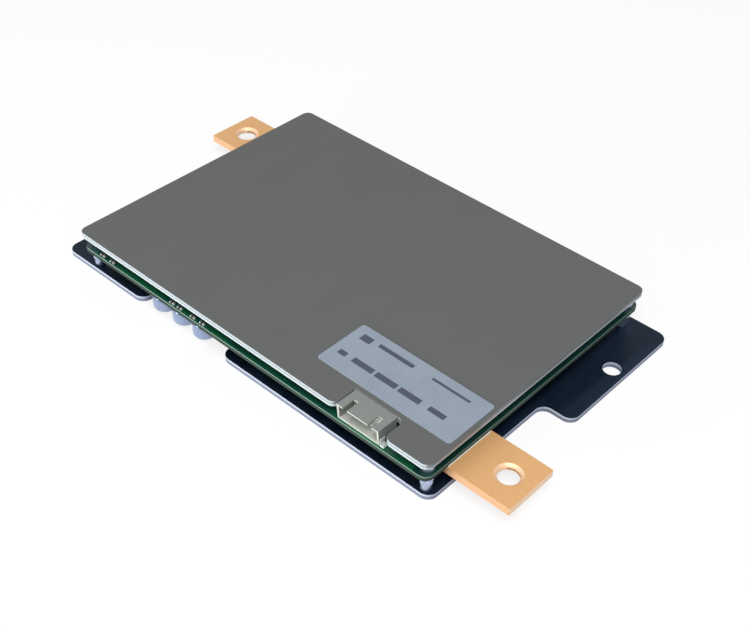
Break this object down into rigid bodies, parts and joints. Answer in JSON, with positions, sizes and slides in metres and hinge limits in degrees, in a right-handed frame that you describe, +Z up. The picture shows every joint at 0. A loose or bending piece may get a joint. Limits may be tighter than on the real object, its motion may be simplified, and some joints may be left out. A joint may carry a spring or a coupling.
{
  "type": "battery management board",
  "caption": "Flat battery management board: circuit board between a grey heat-spreading plate and a black base plate with fixing ears, copper end terminals and a side-entry balance socket.",
  "frame": {"origin": "middle of the overall footprint, on the underside of the base plate", "axes": "+X along the board from the pack terminal to the battery terminal, +Y from the socket edge to the rear edge, +Z up from the base plate to the top plate"},
  "size_m": [0.1928, 0.1076, 0.0162],
  "materials": {
    "grey_sheet": "matte grey coated aluminium sheet with bare cut edges",
    "black_sheet": "glossy black coated aluminium sheet with bare cut edges",
    "board": "glass-filled epoxy laminate with green solder mask",
    "copper": "satin rolled copper",
    "turned_metal": "turned and nickel plated",
    "can": "drawn aluminium can",
    "header": "moulded glass-filled nylon",
    "tin": "tin plated",
    "sticker": "coated paper label",
    "black_mould": "moulded black epoxy",
    "silicone": "soft filled silicone",
    "sense_alloy": "rolled resistance alloy",
    "crystal_case": "drawn nickel plated case",
    "ferrite": "pressed ferrite",
    "chip_ceramic": "fired ceramic with tin plated ends"
  },
  "bodies": {
    "root": {"balance_inductor_1": "ferrite", "balance_inductor_2": "ferrite", "balance_inductor_3": "ferrite", "balance_inductor_4": "ferrite", "balance_switch_1": "black_mould", "balance_switch_2": "black_mould", "balance_switch_3": "black_mould", "balance_switch_4": "black_mould", "base_plate": "black_sheet", "base_screws": "turned_metal", "battery_busbar": "copper", "capacitor_1": "can", "capacitor_2": "can", "capacitor_3": "can", "cell_monitor": "black_mould", "charge_mosfet_1": "black_mould", "charge_mosfet_2": "black_mould", "charge_mosfet_3": "black_mould", "charge_mosfet_4": "black_mould", "charge_mosfet_5": "black_mould", "charge_mosfet_6": "black_mould", "charge_thermal_pad": "silicone", "clock_crystal": "crystal_case", "connector_housing": "header", "connector_pins": "tin", "connector_tabs": "tin", "controller": "black_mould", "discharge_mosfet_1": "black_mould", "discharge_mosfet_2": "black_mould", "discharge_mosfet_3": "black_mould", "discharge_mosfet_4": "black_mould", "discharge_mosfet_5": "black_mould", "discharge_mosfet_6": "black_mould", "discharge_thermal_pad": "silicone", "edge_chips": "chip_ceramic", "label": "sticker", "lower_standoff_1": "turned_metal", "lower_standoff_2": "turned_metal", "lower_standoff_3": "turned_metal", "lower_standoff_4": "turned_metal", "main_board": "board", "pack_busbar": "copper", "sense_resistor_1": "sense_alloy", "sense_resistor_2": "sense_alloy", "sense_resistor_3": "sense_alloy", "sense_resistor_4": "sense_alloy", "supply_regulator": "black_mould", "top_plate": "grey_sheet", "upper_spacer_1": "turned_metal", "upper_spacer_2": "turned_metal", "upper_spacer_3": "turned_metal", "upper_spacer_4": "turned_metal"}
  },
  "joints": []
}
